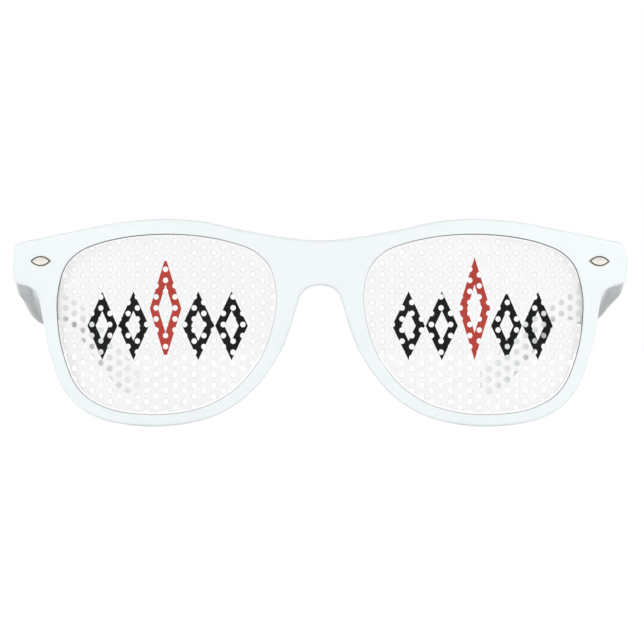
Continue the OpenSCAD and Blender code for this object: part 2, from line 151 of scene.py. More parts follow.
class GlassesColours(bpy.types.PropertyGroup):
    """Colours of the glasses"""

    plastic: colour("Plastic", "Moulded plastic of the frame", (0.895, 0.945, 0.955))
    # Painted shade on the walls of the lens openings: dark above and on the outer side, paler towards the
    # nose
    seam: colour("Seam", "Wall of a lens opening, above and on the outer side", (0.12, 0.125, 0.125))
    pale_seam: colour("Pale seam", "Wall of a lens opening towards the nose", (0.62, 0.63, 0.63))
    film: colour("Film", "White of the perforated film", (0.94, 0.935, 0.935))
    # Painted shade on the punched and cut walls of the film and in a thin ring round each hole
    film_cut: colour("Cut film", "Punched and cut edges of the film", (0.74, 0.74, 0.74))
    film_back: colour("Film back", "Grey glued side of the film", (0.6, 0.6, 0.6))
    ink_black: colour("Black ink", "Dark ink of the print", (0.007, 0.007, 0.007))
    ink_red: colour("Red ink", "Bright ink of the print", (0.49, 0.062, 0.048))
    lens: colour("Lens", "Clear plastic of the lenses", (0.985, 0.99, 0.99))
    ornament: colour("Ornament", "Plated metal of the ornaments", (0.86, 0.81, 0.75))
    # Painted shade and dark reflection in the groove round an ornament, in place of the metal's own colour
    oxide: colour("Shaded_groove", "Darkened groove round an ornament", (0.12, 0.11, 0.08))
    hinge: colour("Hinge", "Plated steel of the hinges", (0.6, 0.6, 0.61))
    screw: colour("Screw", "Bright steel of the screws", (0.68, 0.68, 0.67))


def in_millimetres(*groups):
    """The values of the property groups, with the lengths in millimetres."""
    values = SimpleNamespace()
    for group in groups:
        for name in group.__annotations__:
            scale = 1 / MM if group.bl_rna.properties[name].unit == "LENGTH" else 1
            setattr(values, name, getattr(group, name) * scale)
    return values


# Curves and outlines

def unit(v):
    return v / np.linalg.norm(v)


def mix(a, b, f):
    return a + (b - a) * f


def smooth(a, b, x):
    f = min(max((x - a) / (b - a), 0), 1)
    return f * f * (3 - 2 * f)


def curve_point(p0, p1, p2, p3, f, shortest=0.001):
    """A point of the centripetal curve between p1 and p2."""
    spans = [np.linalg.norm(b - a) for a, b in ((p0, p1), (p1, p2), (p2, p3))]
    k1, k2, k3 = (math.sqrt(max(span, shortest)) for span in spans)
    t1, t2, t3 = k1, k1 + k2, k1 + k2 + k3
    t = t1 + k2 * f
    a1 = (p0 * (t1 - t) + p1 * t) / t1
    a2 = (p1 * (t2 - t) + p2 * (t - t1)) / k2
    a3 = (p2 * (t3 - t) + p3 * (t - t2)) / k3
    b1 = (a1 * (t2 - t) + a2 * t) / t2
    b2 = (a2 * (t3 - t) + a3 * (t - t1)) / (t3 - t1)
    return (b1 * (t2 - t) + b2 * (t - t1)) / k2


def closed_curve(p, n):
    m = len(p)
    return np.array([
        curve_point(p[i - 1], p[i], p[(i + 1) % m], p[(i + 2) % m], k / n)
        for i in range(m) for k in range(n)])


def open_curve(p, n):
    """A curve through the points, of which the first and last only guide the ends."""
    found = [curve_point(*p[i:i + 4], k / n) for i in range(len(p) - 3) for k in range(n)]
    return np.array(found + [p[-2]])


def left_of(d):
    return unit(np.array([-d[1], d[0]]))


class Outlines:
    """The outlines and depths of the front, as the model has them, on finer steps."""

    # Small lengths that stay fixed, in millimetres
    lip_r = 0.35
    pad_lean = 1.2
    seat_gap = 0.05
    butt_gap = 0.3
    barrel_r = 1.4
    front_leaf_l = 4.6
    hinge_up = 0.1
    ornament_up = 0.6

    # The rim's width at its lowest point, in rim widths, and two heights as shares of half a lens
    low_rim = 0.88
    bridge_rise = 0.93
    endpiece_rise = 0.91

    # Heights where a nose pad begins, is whole, stops being whole and ends, in lens heights
    pad_span = (0.2, 0.34, 0.5, 0.68)

    # The lug behind an endpiece: where it rises, across from the hinge's leaf and up from the
    # endpiece's lower edge, and its depth
    lug_across = (-2.6, 0.4)
    lug_up = (-4.2, -0.6)
    lug_d = 3

    # Counts of points, and how evenly the points round an opening are spread
    steps = 9
    opening_steps = 24
    seam_steps = 12
    back_steps = 20
    face_steps = 7
    lip_steps = 4
    edge_steps = 7
    spread = 0.25

    def __init__(self, sizes):
        self.sizes = sizes
        self.lens_cx = (sizes.bridge_gap + sizes.lens_w) / 2
        self.lens_cz = self.low_rim * sizes.rim_w + sizes.lens_h / 2
        self.centre = np.array([self.lens_cx, self.lens_cz])
        self.half_w = self.lens_cx + sizes.lens_w / 2 + sizes.endpiece_w
        self.bridge_top = self.lens_cz + self.bridge_rise * sizes.lens_h / 2
        self.arch_top = self.bridge_top - sizes.bridge_h
        self.endpiece_top = self.lens_cz + self.endpiece_rise * sizes.lens_h / 2
        self.endpiece_low = self.endpiece_top - sizes.endpiece_h
        self.middle_y = -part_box("frame_front")[0].y / MM
        self.lens_front = (sizes.rim_t - sizes.lens_t) / 2
        self.anchors = np.array(
            [(a * sizes.lens_w / 2, b * sizes.lens_h / 2) for a, b, _ in LENS_SHAPE])
        self._find_opening()
        self._find_outline()
        self.hinge_at = np.array([
            self.half_w - sizes.temple_t - self.barrel_r - self.seat_gap,
            self.face_y(self.half_w) + sizes.endpiece_d,
            (self.endpiece_top + self.endpiece_low) / 2 + self.hinge_up])

    def _find_opening(self):
        curve = closed_curve(self.anchors, self.opening_steps)
        angles = np.degrees(np.arctan2(curve[:, 1], curve[:, 0])) % 360
        order = np.argsort(angles)
        self.angles, self.radii = angles[order], np.linalg.norm(curve, axis=1)[order]

    def radius(self, angle):
        return np.interp(angle, self.angles, self.radii, period=360)

    def opening_at(self, angle):
        t = math.radians(angle)
        return self.radius(angle) * np.array([math.cos(t), math.sin(t)])

    def opening_out(self, angle):
        return left_of(self.opening_at(angle - 1) - self.opening_at(angle + 1))

    def rim_anchor(self, i):
        m = len(self.anchors)
        d = self.anchors[(i + 1) % m] - self.anchors[i - 1]
        return self.centre + self.anchors[i] + left_of(d) * self.sizes.rim_w * LENS_SHAPE[i][2]

    def _find_outline(self):
        sizes, w, top, low = self.sizes, self.half_w, self.endpiece_top, self.endpiece_low
        brow = [(0, self.bridge_top), (sizes.bridge_gap * 0.3, self.bridge_top + 0.4)]
        brow += [self.rim_anchor(i) for i in range(BROW_END + 1)]

        # In millimetres from the endpiece's outer side and from its top or its lower edge
        endpiece = [
            (w - 7, top + 1.4), (w - 1.6, top + 0.4), (w - 0.4, top - 0.3), (w, top - 1.5),
            (w, low + 1.4), (w - 0.5, low + 0.4), (w - 1.6, low - 0.1), (w - 4, low - 0.8),
            (w - 5.7, low - 2.2)]
        cheek = [self.rim_anchor(i) for i in range(CHEEK_START, CHEEK_END + 1)]
        gap, crown = sizes.bridge_gap, self.arch_top
        arch = [(gap * 0.255, crown - 4), (gap * 0.215, crown - 2), (gap * 0.12, crown - 0.5), (0, crown)]
        guides = [[(-brow[1][0], brow[1][1])], [(-arch[2][0], arch[2][1])]]
        points = np.array(guides[0] + brow + endpiece + cheek + arch + guides[1], float)
        edge = open_curve(points, self.steps)
        seam = [(0, mix(crown, self.bridge_top, k / self.seam_steps)) for k in range(1, self.seam_steps)]
        self.edge_n = len(edge)
        self.outline = np.vstack([edge, seam])
        self.rows = len(self.outline)
        offsets = self.outline - self.centre
        angles = np.degrees(np.arctan2(offsets[:, 1], offsets[:, 0])) % 360
        even = 360 * np.arange(self.rows) / self.rows
        swept = mix((angles[0] - angles + 360) % 360, even, self.spread)
        self.stations = (angles[0] - swept) % 360

    def outline_normal(self, i):
        if i == 0:
            return np.array([0.0, 1.0])
        if i == self.edge_n - 1:
            return np.array([0.0, -1.0])
        if i >= self.edge_n:
            return np.zeros(2)
        return left_of(self.outline[i + 1] - self.outline[i - 1])

    def face_y(self, x):
        """Depth of the wrapped face behind the bridge."""
        return self.sizes.wrap_r - math.sqrt(self.sizes.wrap_r ** 2 - x * x)

    def pad(self, p):
        """How much of a nose pad's depth there is at a point: 1 is all of it."""
        if p[0] > self.lens_cx:
            return 0
        low, whole, above, high = (share * self.sizes.lens_h for share in self.pad_span)
        return smooth(low, whole, p[1]) * (1 - smooth(above, high, p[1]))

    def back_y(self, p, f):
        """Depth of the back at a point, a share f of the way out from the opening."""
        start = self.hinge_at[0] - self.front_leaf_l
        across = smooth(*(start + x for x in self.lug_across), p[0])
        up = smooth(*(self.endpiece_low + z for z in self.lug_up), p[1])
        rim = self.face_y(p[0]) + self.sizes.rim_t + self.sizes.pad_d * self.pad(p) * f * f
        return mix(rim, self.hinge_at[1] + self.lug_d, across * up)

    def on_side(self, side):
        """From the outlines' own place to the object's, mirrored for the right side."""
        return Matrix.Translation((0, -self.middle_y, 0)) @ Matrix.Diagonal((SIDES[side], 1, 1, 1))

    def at_hinge(self, side, turn=0.0):
        """The hinge's frame, in millimetres: X outwards, Y along the temple, Z up its axis."""
        return (
            self.on_side(side) @ Matrix.Translation(self.hinge_at)
            @ Matrix.Rotation(-self.sizes.temple_slope, 4, "X") @ Matrix.Rotation(turn, 4, "Z"))

    def at_ornament(self, side):
        """X along the ornament, Y up and Z out of the face, in millimetres."""
        x, z = self.half_w - self.sizes.ornament_in, self.hinge_at[2] + self.ornament_up
        lean = math.asin(x / self.sizes.wrap_r)
        return (
            self.on_side(side) @ Matrix.Translation((x, self.face_y(x), z))
            @ Matrix.Rotation(lean, 4, "Z") @ Matrix.Rotation(math.pi / 2, 4, "X"))


def outlines(context):
    scene = context.scene
    return Outlines(in_millimetres(scene.glasses_sizes, scene.glasses_film))


# Meshes

def new_mesh(name, points, faces, place=Matrix.Identity(4)):
    """An object of points in millimetres, put in place. Its faces look outwards."""
    mesh = bpy.data.meshes.new(name)
    scale = Matrix.Scale(MM, 4) @ place
    mesh.from_pydata([scale @ Vector(p) for p in points], [], faces)
    if place.determinant() < 0:
        mesh.flip_normals()
    mesh.update()
    obj = bpy.data.objects.new(name, mesh)
    bpy.context.scene.collection.objects.link(obj)
    return obj


def loft(rings):
    """Points and faces of a closed skin over equal rings, with flat ends."""
    n = len(rings[0])
    points = [p for ring in rings for p in ring]
    faces = [tuple(range(n))]
    for i in range(len(rings) - 1):
        for k in range(n):
            a, b = i * n + k, i * n + (k + 1) % n
            faces.append((a, a + n, b + n, b))
    faces.append(tuple(reversed(range(len(points) - n, len(points)))))
    return points, faces


def prism(outline, low, high):
    """A straight prism over an outline that runs anticlockwise in the XY plane."""
    return loft([[(x, y, z) for x, y in outline] for z in (high, low)])


def circle(r, n):
    return [(r * math.cos(2 * math.pi * k / n), r * math.sin(2 * math.pi * k / n)) for k in range(n)]


def box_outline(x1, x2, y1, y2):
    return [(x1, y1), (x2, y1), (x2, y2), (x1, y2)]


def pointed_oval(w, h, n=28):
    """Two equal arcs that meet in points at both ends."""
    r = (w * w + h * h) / (4 * h)
    half = math.asin(min(1, w / 2 / r))
    lower = [(r * math.sin(a), r - h / 2 - r * math.cos(a)) for a in np.linspace(-half, half, n + 1)[:-1]]
    return lower + [(-x, -y) for x, y in lower]


def apply_modifiers(obj):
    view = bpy.context.evaluated_depsgraph_get()
    mesh = bpy.data.meshes.new_from_object(obj.evaluated_get(view))
    obj.modifiers.clear()
    obj.data = mesh


def cut(obj, cutters):
    """Cuts each cutter out of obj, and deletes the cutters."""
    for tool in cutters:
        modifier = obj.modifiers.new("cut", "BOOLEAN")
        modifier.operation, modifier.solver, modifier.object = "DIFFERENCE", "MANIFOLD", tool
        before = len(obj.data.polygons)
        apply_modifiers(obj)
        if len(obj.data.polygons) == before:
            raise RuntimeError(f"{tool.name} cut nothing from {obj.name}")
        bpy.data.objects.remove(tool)
    obj.data.materials.clear()


def shade(obj, angle=32):
    """Smooth shading, with the edges sharp above an angle in degrees."""
    obj.data.shade_smooth()
    obj.data.set_sharp_from_angle(angle=math.radians(angle))


def weigh_normals(obj):
    modifier = obj.modifiers.new("even shading", "WEIGHTED_NORMAL")
    modifier.keep_sharp = True
    modifier.weight = 70


def place_piece(obj, body, node, materials):
    for material in materials:
        obj.data.materials.append(material)
    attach(obj, body)
    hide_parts(node)


# Materials

PLASTIC_IOR = 1.49
BUMP_STRENGTH = 0.35


def set_inputs(tree, node, values):
    """Gives each input of a node its value, or links it where the value is another node's output."""
    for name, value in values.items():
        if isinstance(value, bpy.types.NodeSocket):
            tree.links.new(value, node.inputs[name])
        else:
            node.inputs[name].default_value = value


def noise(tree, vector, scale, detail=3.0, roughness=0.5):
    node = tree.nodes.new("ShaderNodeTexNoise")
    set_inputs(tree, node, {"Vector": vector, "Scale": scale, "Detail": detail, "Roughness": roughness})
    return node.outputs["Fac"]


def map_range(tree, value, low, high, to_low, to_high):
    node = tree.nodes.new("ShaderNodeMapRange")
    set_inputs(tree, node, {
        "Value": value, "From Min": low, "From Max": high, "To Min": to_low, "To Max": to_high})
    return node.outputs["Result"]


def arithmetic(tree, operation, a, b):
    node = tree.nodes.new("ShaderNodeMath")
    node.operation = operation
    set_inputs(tree, node, {0: a, 1: b})
    return node.outputs[0]


def weighed(tree, a, share, b):
    """A share of a and the rest of b."""
    parts = [arithmetic(tree, "MULTIPLY", value, part) for value, part in ((a, share), (b, 1 - share))]
    return arithmetic(tree, "ADD", *parts)


def mix_colours(tree, factor, a, b):
    node = tree.nodes.new("ShaderNodeMix")
    node.data_type = "RGBA"
    set_inputs(tree, node, {"Factor": factor, "A": a, "B": b})
    return node.outputs["Result"]


def separate(tree, vector):
    """The X, Y and Z of a vector."""
    node = tree.nodes.new("ShaderNodeSeparateXYZ")
    tree.links.new(vector, node.inputs[0])
    return node.outputs


def coordinates(tree, kind):
    return tree.nodes.new("ShaderNodeTexCoord").outputs[kind]


def start_group(name, colours, numbers):
    """A node group with its inputs, and outputs for a colour, a roughness and the height of a relief."""
    group = bpy.data.node_groups.new(name, "ShaderNodeTree")
    add = group.interface.new_socket
    for label in colours:
        add(name=label, in_out="INPUT", socket_type="NodeSocketColor")
    for label, value in numbers.items():
        add(name=label, in_out="INPUT", socket_type="NodeSocketFloat").default_value = value
    for label, kind in (("Colour", "Color"), ("Roughness", "Float"), ("Height", "Float")):
        add(name=label, in_out="OUTPUT", socket_type=f"NodeSocket{kind}")
    return group, group.nodes.new("NodeGroupInput").outputs, coordinates(group, "Object")


def finish_group(group, given, tint, uneven, span, height):
    """Sets the outputs of a group, with a roughness that follows the uneven mask over its span."""
    rough = map_range(group, uneven, *span, given["Least roughness"], given["Most roughness"])
    put = group.nodes.new("NodeGroupOutput")
    set_inputs(group, put, {"Colour": tint, "Roughness": rough, "Height": height})
    return group


def surface_group():
    """Broad, faint changes of tone, uneven gloss and a fine relief, for moulded and printed plastic."""
    name = "Moulded surface"
    if name in bpy.data.node_groups:
        return bpy.data.node_groups[name]
    group, given, where = start_group(
        name, ("Colour", "Second colour"),
        {"Tone scale": 40, "Grain scale": 900, "Least roughness": 0.2, "Most roughness": 0.3})
    span, smear_scale = (0.35, 0.65), 160
    tone = map_range(group, noise(group, where, given["Tone scale"]), *span, 0, 1)
    grain = noise(group, where, given["Grain scale"], 2, 0.6)
    smears = noise(group, where, smear_scale, 4, 0.65)
    tint = mix_colours(group, tone, given["Colour"], given["Second colour"])
    return finish_group(group, given, tint, weighed(group, smears, 0.7, grain), span, grain)


def metal_group():
    """Brushed lines and dull patches, for plated metal and steel."""
    name = "Brushed metal"
    if name in bpy.data.node_groups:
        return bpy.data.node_groups[name]
    group, given, where = start_group(
        name, ("Colour", "Dull colour"), {"Least roughness": 0.15, "Most roughness": 0.35})
    line_scale, patch_scale, line_stretch = 1400, 380, (1, 1, 9)
    dull_span, rough_span = (0.45, 0.75), (0.3, 0.7)
    stretch = group.nodes.new("ShaderNodeMapping")
    set_inputs(group, stretch, {"Vector": where, "Scale": line_stretch})
    lines = noise(group, stretch.outputs["Vector"], line_scale, 3, 0.6)
    patches = noise(group, where, patch_scale, 4, 0.6)
    dull = map_range(group, patches, *dull_span, 0, 1)
    tint = mix_colours(group, dull, given["Colour"], given["Dull colour"])
    return finish_group(group, given, tint, weighed(group, lines, 0.6, patches), rough_span, lines)


def rgba(tint, shade_by=1.0):
    return (tint[0] * shade_by, tint[1] * shade_by, tint[2] * shade_by, 1)


def start_material(name):
    """A new material, its node tree, its output and its main shader."""
    material = bpy.data.materials.new(name)
    material.use_nodes = True
    nodes = material.node_tree.nodes
    nodes.clear()
    out, shader = nodes.new("ShaderNodeOutputMaterial"), nodes.new("ShaderNodeBsdfPrincipled")
    return material, material.node_tree, out, shader


def add_effect(tree, group, values):
    """Puts a shared group into a material with the material's own values."""
    effect = tree.nodes.new("ShaderNodeGroup")
    effect.node_tree = group
    set_inputs(tree, effect, values)
    return effect.outputs


def choose_shader(tree, out, factor, first, second):
    """Puts out the second shader where the factor is 1, and the first where it is 0."""
    choose = tree.nodes.new("ShaderNodeMixShader")
    set_inputs(tree, choose, {0: factor, 1: first.outputs[0], 2: second.outputs[0]})
    tree.links.new(choose.outputs[0], out.inputs["Surface"])


def finish_material(name, group, values, bump, metallic=0.0, gloss=0.5):
    """A material whose colour, gloss and relief come from a shared group with its own values."""
    if name in bpy.data.materials:
        return bpy.data.materials[name]
    material, tree, out, shader = start_material(name)
    effect = add_effect(tree, group, values)
    relief = tree.nodes.new("ShaderNodeBump")
    set_inputs(tree, relief, {
        "Strength": BUMP_STRENGTH, "Distance": bump * MM, "Height": effect["Height"]})
    set_inputs(tree, shader, {
        "Base Color": effect["Colour"], "Roughness": effect["Roughness"],
        "Normal": relief.outputs["Normal"], "Metallic": metallic, "IOR": PLASTIC_IOR,
        "Specular IOR Level": gloss})
    tree.links.new(shader.outputs["BSDF"], out.inputs["Surface"])
    return material


def plastic_material(name, tint, rough, second=0.985, tone=40, grain=900, bump=0.0015, gloss=0.5):
    values = {
        "Colour": rgba(tint), "Second colour": rgba(tint, second), "Tone scale": tone,
        "Grain scale": grain, "Least roughness": rough[0], "Most roughness": rough[1]}
    return finish_material(name, surface_group(), values, bump, gloss=gloss)


def metal_material(name, tint, rough, dull=0.82, bump=0.006):
    values = {
        "Colour": rgba(tint), "Dull colour": rgba(tint, dull),
        "Least roughness": rough[0], "Most roughness": rough[1]}
    return finish_material(name, metal_group(), values, bump, metallic=1.0)


def frame_material():
    return plastic_material(
        "white_plastic", bpy.context.scene.glasses_colours.plastic, (0.28, 0.36), 0.99, gloss=0.2)


def wall_shade_material():
    """Painted shade on the wall of a lens opening: dark above and on the outer side, and paler towards the
    nose.
    """
    colours = bpy.context.scene.glasses_colours
    material = plastic_material("seam_plastic", colours.seam, (0.4, 0.5), gloss=0.2)
    tree = material.node_tree
    # Painted shade: the wall grows darker outwards and upwards, by |X| + Z in metres
    pale_until, dark_from = 0.045, 0.09
    x, _, z = separate(tree, coordinates(tree, "Object"))
    outwards = arithmetic(tree, "ADD", arithmetic(tree, "ABSOLUTE", x, 0), z)
    dark = map_range(tree, outwards, pale_until, dark_from, 0, 1)
    mixed = mix_colours(tree, dark, rgba(colours.pale_seam), rgba(colours.seam))
    effect = next(node for node in tree.nodes if node.type == "GROUP")
    set_inputs(tree, effect, {"Colour": mixed, "Second colour": mixed})
    return material


def lens_material():
    """Clear plastic that lets the lamps through."""
    name = "lens_plastic"
    if name in bpy.data.materials:
        return bpy.data.materials[name]
    material, tree, out, shader = start_material(name)
    tint = bpy.context.scene.glasses_colours.lens
    effect = add_effect(
        tree, surface_group(), {"Colour": rgba(tint), "Second colour": rgba(tint, 0.995)})
    set_inputs(tree, shader, {
        "Base Color": effect["Colour"], "Roughness": 0.0, "Transmission Weight": 1.0, "IOR": PLASTIC_IOR})
    path = tree.nodes.new("ShaderNodeLightPath")
    clear = tree.nodes.new("ShaderNodeBsdfTransparent")
    choose_shader(tree, out, path.outputs["Is Shadow Ray"], shader, clear)
    return material


# Pieces

def quarter(steps):
    """Points of a quarter circle from a face round to a wall, as shares of its radius."""
    return [(1 - math.sin(t), 1 - math.cos(t)) for t in np.linspace(0, math.pi / 2, steps)]


def rim_section(shape, i):
    """One section of the rim, a ring from the opening round the outer edge, and its seam columns."""
    sizes = shape.sizes

    # The section's point on the opening is a, and on the outline b, where n and m point outwards
    a = shape.centre + shape.opening_at(shape.stations[i])
    n = shape.opening_out(shape.stations[i])
    b, m = shape.outline[i], shape.outline_normal(i)
    soft = sizes.edge_r if i < shape.edge_n else 0
    lean = b - m * shape.pad_lean * shape.pad(b)
    back = shape.back_y(b, 1)
    inner, outer = a + n * shape.lip_r, lean - m * soft
    groove = a + n * sizes.groove_d
    near, far = shape.lens_front - shape.seat_gap, shape.lens_front + sizes.lens_t + shape.seat_gap

    def at(p, y):
        return (p[0], y - shape.middle_y, p[1])

    def face(p, d):
        return at(p, shape.face_y(p[0]) + d)

    lip, edge = quarter(shape.lip_steps), quarter(shape.edge_steps)
    ring = [face(a + n * shape.lip_r * u, shape.lip_r * v) for u, v in lip]
    ring += [face(a, near), face(groove, near), face(groove, far), face(a, far)]
    for u, v in reversed(lip):
        p = a + n * shape.lip_r * u
        ring.append(at(p, shape.back_y(p, 0) - shape.lip_r * v))
    for f in np.linspace(0, 1, shape.back_steps)[1:-1]:
        p = mix(inner, outer, f)
        ring.append(at(p, shape.back_y(p, f)))
    wall_start = len(ring)
    ring += [at(lean - m * soft * u, back - sizes.edge_r * v) for u, v in edge]
    low, high = np.array(at(lean, back - sizes.edge_r)), np.array(face(b, sizes.edge_r))
    ring += [tuple(mix(low, high, f)) for f in (1 / 3, 2 / 3)]
    ring += [face(b - m * soft * u, sizes.edge_r * v) for u, v in reversed(edge)]
    wall_end = len(ring) - 1
    ring += [face(mix(b - m * soft, inner, f), 0) for f in np.linspace(0, 1, shape.face_steps)[1:-1]]
    return ring, wall_start, wall_end


def front_skin(shape):
    """One closed skin for both halves, which share the points of the seam in the bridge."""
    sections = [rim_section(shape, i) for i in range(shape.rows)]
    _, wall_start, wall_end = sections[0]
    columns = len(sections[0][0])
    points = [p for ring, _, _ in sections for p in ring]
    count = len(points)
    twin = list(range(count))
    for k in range(count):
        i, j = divmod(k, columns)
        if not ((i == 0 or i >= shape.edge_n - 1) and wall_start <= j <= wall_end):
            twin[k] = len(points)
            points.append((-points[k][0], points[k][1], points[k][2]))
    faces = []
    for i in range(shape.rows):
        for j in range(columns):
            if i >= shape.edge_n - 1 and wall_start <= j < wall_end:
                continue
            i2, j2 = (i + 1) % shape.rows, (j + 1) % columns
            a, b, c, d = i * columns + j, i2 * columns + j, i2 * columns + j2, i * columns + j2
            faces += [(a, d, c, b), (twin[a], twin[b], twin[c], twin[d])]
    return points, faces


# The feet of the hinge leaves in the plastic: width, depth and height, and where each one begins
FRONT_FOOT = (2.2, 1.6, 3.4)
TEMPLE_FOOT = (1.8, 4.0, 2.4)
FRONT_FOOT_AT = 0.8
TEMPLE_FOOT_AT = 3.0

# The room round a hinge barrel, and the shank and the seat of an ornament
RELIEF = 0.2
SHANK_R = 0.75
SHANK_L = 2.6
SEAT_D = 0.3
BARREL_SIDES = 48
SHANK_SIDES = 32


def front_cutters(shape, side):
    """What the hinge and the ornament of one side take out of the front."""
    reach, proud, gap, r = 14, 1, shape.seat_gap, shape.barrel_r
    place = shape.at_hinge(side)
    step = [
        (-reach, -r - gap), (r + gap, -r - gap), (r + gap, -shape.butt_gap / 2),
        (reach, -shape.butt_gap / 2), (reach, reach), (-reach, reach)]
    w, d, h = FRONT_FOOT
    x = FRONT_FOOT_AT - shape.front_leaf_l
    foot = box_outline(x - gap, x + w + gap, -r - d - gap, -r + proud)
    seat = shape.at_ornament(side)
    oval = pointed_oval(shape.sizes.ornament_w + 4 * gap, shape.sizes.ornament_h + 2 * gap)
    return [
        new_mesh("butt_cut", *prism(step, -reach, reach), place),
        new_mesh("barrel_cut", *prism(circle(r + RELIEF, BARREL_SIDES), -reach, reach), place),
        new_mesh("foot_cut", *prism(foot, -h / 2 - gap, h / 2 + gap), place),
        new_mesh("oval_cut", *prism(oval, -SEAT_D, proud), seat),
        new_mesh("shank_cut", *prism(circle(SHANK_R + gap, SHANK_SIDES), -SHANK_L - gap, 0), seat)]


def opening_walls(shape, mesh):
    """The slot of each face: 1, the painted shade, on the walls and the grooves of the lens openings, 0
    elsewhere.
    """
    sizes = shape.sizes
    middles = np.empty(3 * len(mesh.polygons))
    mesh.polygons.foreach_get("center", middles)
    x, y, z = middles.reshape(-1, 3).T / MM
    x, z = np.abs(x) - shape.lens_cx, z - shape.lens_cz
    outside = np.hypot(x, z) - shape.radius(np.degrees(np.arctan2(z, x)) % 360)
    depth = y + shape.middle_y - sizes.wrap_r + np.sqrt(sizes.wrap_r ** 2 - (x + shape.lens_cx) ** 2)
    start, end = 0.2 * shape.lip_r, shape.lens_front + sizes.lens_t
    return ((outside < sizes.groove_d) & (depth > start) & (depth < end)).astype(int)


class GLASSES_OT_front(bpy.types.Operator):
    """Makes the moulded front, with its rims, bridge, nose pads and endpieces"""

    bl_idname = "glasses.front"
    bl_label = "Front"

    def execute(self, context):
        shape = outlines(context)
        front = new_mesh("moulded_front", *front_skin(shape))
        for side in SIDES:
            cut(front, front_cutters(shape, side))
        # The walls and grooves of the lens openings take the painted shade
        front.data.polygons.foreach_set("material_index", opening_walls(shape, front.data))
        shade(front)
        weigh_normals(front)
        place_piece(front, "front", "frame_front", [frame_material(), wall_shade_material()])
        return {"FINISHED"}


def box_ring(a, b, corner):
    """A box with round corners, of half width a and half height b."""
    r = corner * a
    corners = ((1, 1, 0), (-1, 1, 90), (-1, -1, 180), (1, -1, 270))
    turns = [(x, z, math.radians(start + k)) for x, z, start in corners for k in range(0, 91, 15)]
    return [(x * (a - r) + r * math.cos(t), z * (b - r) + r * math.sin(t)) for x, z, t in turns]


def temple_rings(shape):
    """Rings of a temple in its hinge's frame, from the butt to the round tip."""
    sizes = shape.sizes
    bend, tip_round, leaf = sizes.temple_l - sizes.hook_l, 3.5, 9
    butt_step, butt_r = 0.2, 0.25
    butt_h = sizes.endpiece_h - butt_step
    square, rounded, rounded_from = 0.4, 0.94, 16

    def station(x, y, z, height, thickness):
        return x, y, z, height * sizes.temple_h, thickness * sizes.temple_t

    def straight(out, back, up, height, thickness):
        return station(out * sizes.temple_bow, back * bend, up * sizes.temple_h, height, thickness)

    def hook(inwards, back, down, height, thickness):
        x, y, z = -inwards * sizes.hook_in, bend + back * sizes.hook_l, -down * sizes.hook_drop
        return station(x, y, z, height, thickness)

    # Each as x, y, z, height and thickness. The first and the last only guide the ends.
    path = np.array([
        (0, -leaf, 0, butt_h, sizes.temple_t), (0, shape.butt_gap / 2, 0, butt_h, sizes.temple_t),
        (0, leaf / 2, -0.07 * sizes.temple_h, 0.9 * sizes.temple_h, sizes.temple_t),
        (0, leaf + 1, -0.09 * sizes.temple_h, 0.97 * sizes.temple_h, sizes.temple_t),
        straight(0.5, 0.3, -0.055, 1, 1), straight(1, 0.5, -0.03, 0.97, 1),
        straight(0.9, 0.67, 0, 0.9, 0.97), straight(0.25, 0.85, 0.13, 0.58, 0.9),
        hook(0.115, 0, -0.15, 0.5, 0.85), hook(0.285, 0.2, 0.03, 0.6, 0.825),
        hook(0.49, 0.39, 0.33, 0.7, 0.8), hook(0.7, 0.57, 0.64, 0.75, 0.775),
        hook(0.885, 0.78, 0.86, 0.74, 0.75), hook(1, 1 - tip_round / sizes.hook_l, 0.93, 0.62, 0.75),
        hook(1.14, 1.12, 1, 0.54, 0.75)])
    stations = open_curve(path, 2 * shape.steps)
    middles = stations[:, :3] + np.array([shape.barrel_r + shape.seat_gap + sizes.temple_t / 2, 0, 0])

    def ring(i, share=1.0, ahead=0.0):
        last = len(stations) - 1
        along = np.array([0, 1, 0]) if i == 0 else unit(middles[min(i + 1, last)] - middles[i - 1])
        out = unit(np.array([along[1], -along[0], 0]))
        up = np.cross(out, along)
        a, b = share * stations[i][4] / 2, share * stations[i][3] / 2
        corner = mix(square, rounded, smooth(0, rounded_from, stations[i][1]))
        return [middles[i] + along * ahead + out * x + up * z for x, z in box_ring(a, b, corner)]

    butt = [ring(0, 1 - butt_r * u / (sizes.temple_t / 2), butt_r * v)
            for u, v in quarter(shape.lip_steps)]
    tip = [ring(len(stations) - 1, math.cos(a), tip_round * math.sin(a))
           for a in np.radians([8, 16, 24, 32, 40, 48, 56, 64, 71, 78, 84])]
    return butt + [ring(i) for i in range(1, len(stations))] + tip


class GLASSES_OT_temples(bpy.types.Operator):
    """Makes the two temples with their ear hooks"""

    bl_idname = "glasses.temples"
    bl_label = "Temples"

    def execute(self, context):
        shape = outlines(context)
        points, faces = loft(temple_rings(shape))
        reach, gap, r = 12, shape.seat_gap, shape.barrel_r
        w, d, h = TEMPLE_FOOT
        y = TEMPLE_FOOT_AT
        foot = box_outline(r - gap, r + w + gap, y - gap, y + d + gap)
        barrel = circle(r + RELIEF + gap, BARREL_SIDES)
        for side in SIDES:
            place = shape.at_hinge(side, getattr(shape.sizes, f"turn_in_{side}"))
            temple = new_mesh(f"temple_arm_{side}", points, faces, place)
            cut(temple, [
                new_mesh("barrel_cut", *prism(barrel, -reach, reach), place),
                new_mesh("foot_cut", *prism(foot, -h / 2 - gap, h / 2 + gap), place)])
            shade(temple)
            weigh_normals(temple)
            place_piece(temple, BODIES[side], f"temple_{side}", [frame_material()])
        return {"FINISHED"}


